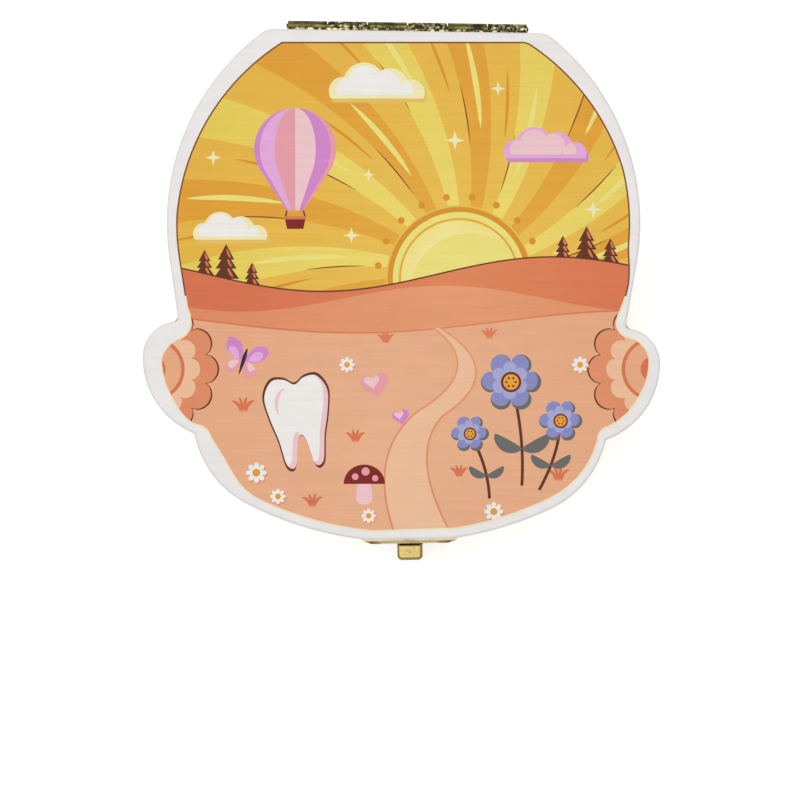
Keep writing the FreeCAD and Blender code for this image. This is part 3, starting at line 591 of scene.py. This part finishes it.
class Print:
    """Closed loops laid over each other. Each triangle between them takes the ink that lies on top."""

    def __init__(self, outline, inner):
        self.points = []
        self.loops = []
        self.layers = []
        self.outline = self.loop(outline)
        self.inner = self.loop(inner)

    def loop(self, shape):
        """Adds a loop, turned to run counterclockwise."""
        first = len(self.points)
        corners = [Vector(p) for p in shape]
        if area_of(corners) < 0:
            corners.reverse()
        self.points.extend(corners)
        self.loops.append(list(range(first, len(self.points))))
        return len(self.loops) - 1

    def draw(self, name, shape, inside=None):
        """Lays an ink over a shape, or only over the part of it inside an earlier loop."""
        index = self.loop(shape)
        self.layers.append((name, index, inside))
        return index

    def top_ink(self, covered, middle):
        if self.inner not in covered:
            return "brown" if middle.y > PRINT_EDGE_CHANGE else "cream"
        for name, index, inside in reversed(self.layers):
            if index in covered and (inside is None or inside in covered):
                return name
        return "sky"

    def triangles(self):
        """The flat corners, the triangles over the outline and the ink of each."""
        inside_only = 1
        nearness = 1e-5
        result = delaunay_2d_cdt(self.points, [], self.loops, inside_only, nearness, True)
        corners, _, faces, _, _, covers = result
        kept, inks = [], []
        for face, covered in zip(faces, covers):
            if self.outline in covered:
                middle = sum((corners[i] for i in face), Vector((0, 0))) / len(face)
                kept.append(face)
                inks.append(self.top_ink(set(covered), middle))
        return corners, kept, inks


def draw_sky(page):
    """Rays in two inks that swirl out from the sun, with streaks on each."""
    width = math.pi / RAY_COUNT
    for i in range(RAY_COUNT):
        angle = 2 * math.pi * i / RAY_COUNT
        edge = ray_path(angle, RAY_START, RAY_END, 24)
        back = ray_path(angle + width, RAY_START, RAY_END, 24)
        page.draw("ray_light" if i % 2 else "ray_amber", edge + back[::-1])
        start = STREAK_START + STREAK_STEP * (i % 3)
        for name, across, first, last, stroke in STREAKS:
            streak = ray_path(angle + width * across, start + first, start + last)
            page.draw(name, ribbon(streak, stroke))


def draw_sun(page):
    """A disc with rings about it, a paler side and a wreath of dots."""
    x, y = SUN
    for name, wider in (("amber", 2.6), ("shine", 1.4), ("ray_amber", 0.0)):
        page.draw(name, circle(x, y, SUN_RADIUS + wider, 72))
    disc = page.draw("sun", circle(x, y, SUN_RADIUS - 0.5, 72))
    page.draw("shine", circle(x + 2.5, y - 3.5, SUN_RADIUS, 72), inside=disc)
    reach = SUN_RADIUS + 5.0
    for i in range(RAY_COUNT):
        t = 2 * math.pi * (i + 0.5) / RAY_COUNT
        page.draw("amber", circle(x + reach * math.cos(t), y + reach * math.sin(t), 0.8, 14))


def draw_cloud(page, x, y, width, body, shade, light):
    for puff in cloud_puffs(x + 0.5, y - 0.9, width):
        page.draw(shade, puff)
    puffs = [page.draw(body, puff) for puff in cloud_puffs(x, y, width)]
    for i, puff in enumerate(cloud_puffs(x - 0.5, y + 0.6, width * 0.8)):
        page.draw(light, puff, inside=puffs[i])


def draw_balloon(page, x, y, radius):
    """A striped balloon with its basket."""
    sweep = 130
    steps = 24
    profile = []
    for i in range(steps + 1):
        t = math.radians(90 - sweep * i / steps)
        profile.append((radius * math.cos(t), radius * math.sin(t)))
    neck = (0.2 * radius, -1.5 * radius)
    profile.append(neck)
    stripes = ("lilac", "lilac_pale", "pink", "pink_pale", "lilac", "pink")
    stripe = 180 / len(stripes)
    edges = [math.sin(math.radians(-90 + stripe * k)) for k in range(len(stripes) + 1)]
    for k, name in enumerate(stripes):
        left = [(x + edges[k] * w, y + h) for w, h in profile]
        right = [(x + edges[k + 1] * w, y + h) for w, h in profile]
        page.draw(name, left + right[:0:-1])
    basket = [(-0.2, -1.95), (0.2, -1.95), (0.26, -1.65), (-0.26, -1.65)]
    for side in (-1, 1):
        rope = moved([(side * 0.2, -1.5), (side * 0.24, -1.66)], x, y, scale=radius)
        page.draw("bark", ribbon(rope, 0.35, pointed=False))
    page.draw("maroon", moved(basket, x, y, scale=radius))
    rim = moved([(-0.26, -1.68), (0.26, -1.68)], x, y, scale=radius)
    page.draw("far_hill", ribbon(rim, 0.7, pointed=False))


def draw_tree(page, x, y, size):
    """A fir of three tiers on a short trunk, each tier with a lit edge."""
    trunk = moved([(0.0, -0.15), (0.0, 0.3)], x, y, scale=size)
    page.draw("bark", ribbon(trunk, 0.12 * size, pointed=False))
    for foot, half, tip in ((0.15, 0.32, 0.6), (0.4, 0.26, 0.8), (0.62, 0.2, 1.0)):
        page.draw("bark", moved([(-half, foot), (half, foot), (0.0, tip)], x, y, scale=size))
        lit_edge = bend((0.55 * half, foot + 0.04), (0.3 * half, foot + 0.1), (0.04 * half, tip - 0.1), 6)
        page.draw("far_hill", ribbon(moved(lit_edge, x, y, scale=size), 0.55))


def draw_hills(page):
    _, _, far_wave = HILLS[0]
    for x, size in TREES:
        draw_tree(page, x, crest_height(x, *far_wave) - TREE_SINK, size)
    for name, line_name, wave in HILLS:
        line = crest(wave)
        page.draw(name, hill(line))
        page.draw(line_name, ribbon(line, 0.35, pointed=False))


def draw_path(page):
    """A path that winds down the field and widens towards the front."""
    left = bend((7.0, -9.5), (20.0, -19.0), (3.0, -29.0))
    left += bend((3.0, -29.0), (-10.0, -40.0), (0.0, -62.0))
    right = bend((8.6, -9.5), (25.0, -19.5), (9.0, -30.0))
    right += bend((9.0, -30.0), (0.0, -40.0), (14.0, -62.0))
    page.draw("field_pale", left + right[::-1])
    for side in (left, right):
        page.draw("mid_hill", ribbon(side, 0.45, pointed=False))


def draw_tuft(page, x, y, size):
    for lean in (-0.7, -0.25, 0.2, 0.65):
        blade = bend((0.25 * lean, 0.0), (0.3 * lean, 0.6), (lean, 1.0 - 0.5 * abs(lean)))
        page.draw("far_hill", ribbon(moved(blade, x, y, scale=size), 0.7))


def draw_daisy(page, x, y, radius):
    page.draw("mid_hill", blossom(x + 0.25, y - 0.3, radius, 8, depth=0.45))
    page.draw("white", blossom(x, y, radius, 8, depth=0.45))
    page.draw("ray_amber", circle(x, y, 0.38 * radius, 20))


def draw_butterfly(page, x, y, size):
    turn = math.radians(-18)
    upper = [(0.05, 0.05), (0.35, 0.75), (0.95, 0.85), (0.9, 0.3), (0.4, 0.0)]
    lower = [(0.05, 0.0), (0.5, -0.1), (0.75, -0.45), (0.4, -0.75), (0.1, -0.4)]
    for side in (-1, 1):
        for name, spot, wing in (("lilac", "lilac_pale", upper), ("pink", "pink_pale", lower)):
            shape = [(side * px, py) for px, py in wing]
            body = page.draw(name, smooth_loop(moved(shape, x, y, turn, size)))
            inner = moved(shape, x + side * 0.2 * size, y, turn, 0.62 * size)
            page.draw(spot, smooth_loop(inner), inside=body)
    trunk = [(0.0, 0.6), (0.09, 0.1), (0.0, -0.7), (-0.09, 0.1)]
    page.draw("dark", smooth_loop(moved(trunk, x, y, turn, size)))


def draw_heart(page, x, y, size, name):
    turn = math.radians(12)
    body = page.draw(name, heart(x, y, size, turn))
    page.draw("pink_pale", heart(x - 0.12 * size, y + 0.1 * size, 0.55 * size, turn), inside=body)


def draw_tooth(page, x, y, size):
    half = [
        (0.0, 0.74), (0.2, 0.86), (0.46, 0.86), (0.64, 0.55), (0.58, 0.1),
        (0.46, -0.35), (0.37, -0.85), (0.2, -0.9), (0.1, -0.45),
    ]
    unit = half + [(0.0, -0.28)] + [(-px, py) for px, py in half[:0:-1]]
    lean = math.radians(8)
    page.draw("bark", smooth_loop(moved(unit, x, y, lean, size * 1.06)))
    body = page.draw("pink_pale", smooth_loop(moved(unit, x, y, lean, size)))
    page.draw("white", smooth_loop(moved(unit, x - 1.1, y + 0.7, lean, size)), inside=body)
    gleam = bend((-0.42, 0.1), (-0.55, 0.5), (-0.3, 0.66))
    page.draw("pink_pale", ribbon(moved(gleam, x, y, scale=size), 0.9))


def draw_flower(page, x, y, radius, foot):
    stem = bend((x, y), ((x + foot[0]) / 2 + 2.0, (y + foot[1]) / 2), foot)
    page.draw("bark", ribbon(stem, 0.7, pointed=False))
    leaf_step = 9
    root = stem[leaf_step]
    for side in (-1, 1):
        middle = root + Vector((side * radius * 0.6, -0.3))
        tip = root + Vector((side * radius * 0.9, radius * 0.5))
        page.draw("grey", ribbon(bend(root, middle, tip), radius * 0.42))
    petals = page.draw("grey", blossom(x, y, radius, 6))
    page.draw("periwinkle", blossom(x - 0.3, y + 0.4, radius * 0.93, 6), inside=petals)
    page.draw("periwinkle_pale", blossom(x - 0.3, y + 0.4, radius * 0.62, 6, math.pi / 6))
    page.draw("maroon", circle(x, y, radius * 0.34, 28))
    page.draw("ray_amber", circle(x, y, radius * 0.26, 24))
    for seed_x, seed_y in circle(x, y, radius * 0.15, 6):
        page.draw("maroon", circle(seed_x, seed_y, radius * 0.04, 8))


def draw_toadstool(page, x, y, size):
    stalk = [(-0.2, 0.0), (0.2, 0.0), (0.28, -0.8), (-0.28, -0.8)]
    page.draw("pink_pale", smooth_loop(moved(stalk, x, y, scale=size)))
    steps = 20
    turns = [math.pi * i / steps for i in range(steps + 1)]
    cap = [(x + 0.8 * size * math.cos(t), y - 0.1 * size + 0.75 * size * math.sin(t)) for t in turns]
    body = page.draw("maroon", cap)
    for across, up, radius in ((-0.35, 0.18, 0.13), (0.05, 0.38, 0.16), (0.42, 0.12, 0.12)):
        page.draw("pink", circle(x + across * size, y + up * size, radius * size, 18), inside=body)


def draw_rosette(page, x, y):
    """Half a rosette that looks in from a lobe."""
    for name, radius, petals in (("bark", 15.4, 12), ("mid_hill", 15.0, 12), ("field_pale", 11.0, 12)):
        page.draw(name, blossom(x, y, radius, petals, depth=0.16))
    page.draw("far_hill", circle(x, y, 7.4, 40))
    page.draw("field", circle(x, y, 6.6, 40))
    page.draw("far_hill", circle(x, y, 3.0, 24))


def draw_page(page):
    draw_sky(page)
    draw_sun(page)
    for cloud in CLOUDS:
        draw_cloud(page, *cloud)
    draw_balloon(page, -25.0, 32.0, 9.5)
    for place in STARS:
        page.draw("cloud", star(*place))
    draw_hills(page)
    for rosette in ROSETTES:
        draw_rosette(page, *rosette)
    draw_path(page)
    for tuft in TUFTS:
        draw_tuft(page, *tuft)
    for daisy in DAISIES:
        draw_daisy(page, *daisy)
    draw_tooth(page, -24.0, -31.0, 11.5)
    for flower in FLOWERS:
        draw_flower(page, *flower)
    draw_toadstool(page, -9.0, -45.0, 6.0)
    draw_butterfly(page, -37.0, -17.0, 5.0)
    for one_heart in HEARTS:
        draw_heart(page, *one_heart)


# The lid's print as one thin film
def top_outline():
    """The edge of the lid's flat face, in millimetres, run counterclockwise."""
    shape = bmesh.new()
    shape.from_mesh(frame["nodes"]["lid_block"].data)
    bmesh.ops.remove_doubles(shape, verts=shape.verts, dist=0.001 * MM)
    level = LID_TOP - 0.01 * MM
    top = {f for f in shape.faces if all(v.co.z > level for v in f.verts)}
    rim = [e for e in shape.edges if len(top.intersection(e.link_faces)) == 1]
    beside = {}
    for edge in rim:
        one, other = edge.verts
        beside.setdefault(one, []).append(other)
        beside.setdefault(other, []).append(one)
    start = min(beside, key=lambda v: (v.co.y, v.co.x))
    loop, last = [start], None
    while True:
        following = next(v for v in beside[loop[-1]] if v is not last)
        if following is start:
            break
        last = loop[-1]
        loop.append(following)
    points = [Vector((v.co.x, v.co.y)) / MM for v in loop]
    shape.free()
    return points if area_of(points) > 0 else points[::-1]


def divided(points, longest):
    """The outline with points along its long straight stretches."""
    finer = []
    for start, end in zip(points, points[1:] + points[:1]):
        parts = math.ceil((end - start).length / longest)
        finer.extend(start.lerp(end, i / parts) for i in range(parts))
    return finer


def drawn_in(points, insets):
    """A counterclockwise outline moved inwards, each point by its own inset."""
    count = len(points)
    moved_points = []
    for i in range(count):
        ahead = (points[(i + 1) % count] - points[i - 1]).normalized()
        moved_points.append(points[i] + Vector((-ahead.y, ahead.x)) * insets[i])
    return moved_points


def lobe_inset(point):
    """How much further in the print ends in a lobe: nothing on the main outline, most at a lobe's end."""
    if point.y > LOBE_TOP:
        return 0.0
    share = min(max((abs(point.x) - LOBE_START) / LOBE_RUN, 0.0), 1.0)
    return share * (LEFT_LOBE_INSET if point.x < 0 else RIGHT_LOBE_INSET)


def side_inset(point):
    """What the stretches of a wider or narrower border add to the inset."""
    added = 0.0
    for side, level, reach, change in INSET_CHANGES:
        away = abs(point.y - level) / reach
        if point.x * side > 0 and away < 1:
            added += change * (1 - away ** 2) ** 2
    return added


def print_outline():
    """The lid's outline drawn in: further in the lobes, and to a circle of its own at the crown."""
    edge = divided(top_outline(), OUTLINE_STEP)
    outline = drawn_in(edge, [PRINT_INSET + lobe_inset(p) + side_inset(p) for p in edge])
    for i, point in enumerate(outline):
        from_crown = point - PRINT_CROWN
        if from_crown.y > 0 and from_crown.length > PRINT_CROWN_RADIUS:
            outline[i] = PRINT_CROWN + from_crown.normalized() * PRINT_CROWN_RADIUS
    return outline


def film_mesh(page, names):
    """A closed film: the print above, its edge and its underside."""
    corners, faces, inks = page.triangles()
    place = Matrix.Rotation(PRINT_TURN, 2)
    flat = [(place @ Vector(c) + PRINT_SHIFT) for c in corners]
    used = sorted({i for face in faces for i in face})
    order = {old: new for new, old in enumerate(used)}
    count = len(used)
    low, high = LID_TOP - FILM_SINK, LID_TOP + FILM_RISE
    verts = [(flat[i].x * MM, flat[i].y * MM, high) for i in used]
    verts += [(flat[i].x * MM, flat[i].y * MM, low) for i in used]
    top = [[order[i] for i in face] for face in faces]
    owner = {}
    for face, name in zip(top, inks):
        for a, b in zip(face, face[1:] + face[:1]):
            owner[(a, b)] = name
    edge = [(a, b) for a, b in owner if (b, a) not in owner]
    polygons = top + [[i + count for i in face[::-1]] for face in top]
    polygons += [[b, a, a + count, b + count] for a, b in edge]
    chosen = [names.index(n) for n in inks] * 2 + [names.index(owner[pair]) for pair in edge]
    mesh = bpy.data.meshes.new("lid_print")
    mesh.from_pydata(verts, [], polygons)
    mesh.polygons.foreach_set("material_index", chosen)
    lay_bake_map(mesh, len(top))
    mesh.validate()
    return mesh


def lay_bake_map(mesh, top_count):
    """The print fills the map, and the hidden faces share a free corner of it."""
    chart = mesh.uv_layers.new(name="OFBake")
    span = BAKE_SPAN * MM
    for polygon in mesh.polygons:
        share = 1.0 if polygon.index < top_count else BAKE_CORNER
        for corner in polygon.loop_indices:
            place = mesh.vertices[mesh.loops[corner].vertex_index].co
            chart.data[corner].uv = ((place.x / span + 0.5) * share, (place.y / span + 0.5) * share)


def lid_print():
    outline = print_outline()
    page = Print(outline, drawn_in(outline, [PRINT_EDGE_LINE] * len(outline)))
    draw_page(page)
    names = list(INKS)
    film = bpy.data.objects.new("lid_print", film_mesh(page, names))
    for name in names:
        film.data.materials.append(ink(name))
    bpy.context.scene.collection.objects.link(film)
    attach(film, "lid")


def dress_frame():
    """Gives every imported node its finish."""
    hinge_smooth = hinge_brass("hinge_smooth", (114, 110, 66), (54, 54, 32), 420.0, 0.5)
    # Bright patches of this finish are painted glints on worn brass
    hinge_wear_and_glints = hinge_brass("hinge_wear_and_glints", (216, 206, 158), (54, 50, 30), 1100.0, 0.43)
    # The lever's last colour is painted shade in the gap behind its hook
    lever = lever_brass("latch_lever", (172, 153, 97), (154, 134, 80), (52, 32, 14))
    # The plate's last colour is painted shade towards its ends
    plate = plate_brass("latch_plate", (212, 194, 150), (194, 174, 126), (104, 80, 42))
    nails = brass("nail_brass", (206, 170, 92), (150, 118, 58), 700.0, 0.6)
    spring = brass("spring_bronze", (188, 138, 84), (136, 96, 58), 600.0, 0.55)
    finishes = {
        "base_block": base_wood(),
        "lid_block": lid_wood(),
        "hinge_leaf_base": hinge_smooth,
        "hinge_leaf_lid": hinge_wear_and_glints,
        "hinge_pin": hinge_wear_and_glints,
        "latch_base_plate": plate,
        "latch_strike_plate": plate,
        "latch_lever": lever,
        "latch_pivot_pin": lever,
        "latch_spring": spring,
    }
    for name, node in frame["nodes"].items():
        node.data.materials.clear()
        node.data.materials.append(finishes.get(name, nails))


def latch_spring():
    """The leaf spring, which flattens against its plate when the lever is pressed, as an object of its own
    with its own mesh, riding with the base.
    """
    node = frame["nodes"]["latch_spring"]
    leaf = bpy.data.objects.new("latch_spring_leaf", node.data.copy())
    bpy.context.scene.collection.objects.link(leaf)
    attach(leaf, "base")
    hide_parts("latch_spring")
    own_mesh(leaf)


# Stage
def floor_paper():
    """White paper that glows where it is seen, and otherwise only takes light and shadow."""
    recipe = Recipe("floor_paper")
    path = recipe.add("LightPath")
    seen = recipe.math(path.outputs["Is Camera Ray"], path.outputs["Is Glossy Ray"], "MAXIMUM")
    seen = recipe.math(seen, path.outputs["Is Transmission Ray"], "MAXIMUM")
    return recipe.finish(
        Base_Color=(0.8, 0.8, 0.8, 1.0),
        Roughness=0.9,
        Emission_Color=(1.0, 1.0, 1.0, 1.0),
        Emission_Strength=recipe.range(seen, 0.0, FLOOR_GLOW),
    )


def build_floor():
    half = FLOOR_HALF
    corners = [(-half, -half, 0), (half, -half, 0), (half, half, 0), (-half, half, 0)]
    mesh = bpy.data.meshes.new("floor")
    mesh.from_pydata(corners, [], [(0, 1, 2, 3)])
    mesh.materials.append(floor_paper())
    floor = bpy.data.objects.new("floor", mesh)
    floor.location.z = -FLOOR_DROP
    bpy.context.scene.collection.objects.link(floor)


def build_sky():
    """Even white light, dimmer from low down."""
    world = bpy.data.worlds.new("studio")
    world.use_nodes = True
    tree = world.node_tree
    background = tree.nodes["Background"]
    background.inputs["Color"].default_value = (1.0, 1.0, 1.0, 1.0)
    place = tree.nodes.new("ShaderNodeTexCoord")
    split = tree.nodes.new("ShaderNodeSeparateXYZ")
    fade = tree.nodes.new("ShaderNodeMapRange")
    fade.inputs["From Max"].default_value = SKY_TOP_FROM
    fade.inputs["To Min"].default_value = SKY_LEVEL
    fade.inputs["To Max"].default_value = SKY_TOP
    tree.links.new(place.outputs["Generated"], split.inputs["Vector"])
    tree.links.new(split.outputs["Z"], fade.inputs["Value"])
    tree.links.new(fade.outputs["Result"], background.inputs["Strength"])
    bpy.context.scene.world = world


def build_lamp():
    """A soft lamp that looks at the box."""
    lamp = bpy.data.lights.new("key", "AREA")
    lamp.size = LAMP_SIZE
    lamp.energy = LAMP_POWER
    softbox = bpy.data.objects.new("key", lamp)
    softbox.location = LAMP_PLACE
    softbox.rotation_euler = LAMP_PLACE.to_track_quat("Z", "Y").to_euler()
    bpy.context.scene.collection.objects.link(softbox)


def build_camera():
    """Straight above: the box's width fixes the scale, and its middle the place in the frame."""
    pixel = (cad_high.x - cad_low.x) / BOX_WIDTH_PIXELS
    middle = Vector((BOX_PIXEL.x - IMAGE_SIZE / 2, IMAGE_SIZE / 2 - BOX_PIXEL.y)) * pixel
    place = -(Matrix.Rotation(BOX_TURN, 2) @ middle)
    data = bpy.data.cameras.new("camera")
    data.sensor_width = SENSOR_MM
    data.lens = SENSOR_MM * CAMERA_HEIGHT / (IMAGE_SIZE * pixel)
    camera = bpy.data.objects.new("camera", data)
    camera.location = (place.x, place.y, LID_TOP + CAMERA_HEIGHT)
    camera.rotation_euler.z = BOX_TURN
    bpy.context.scene.collection.objects.link(camera)
    bpy.context.scene.camera = camera


dress_frame()
latch_spring()
lid_print()
build_floor()
build_sky()
build_lamp()
build_camera()
bpy.context.scene.view_settings.view_transform = "Standard"
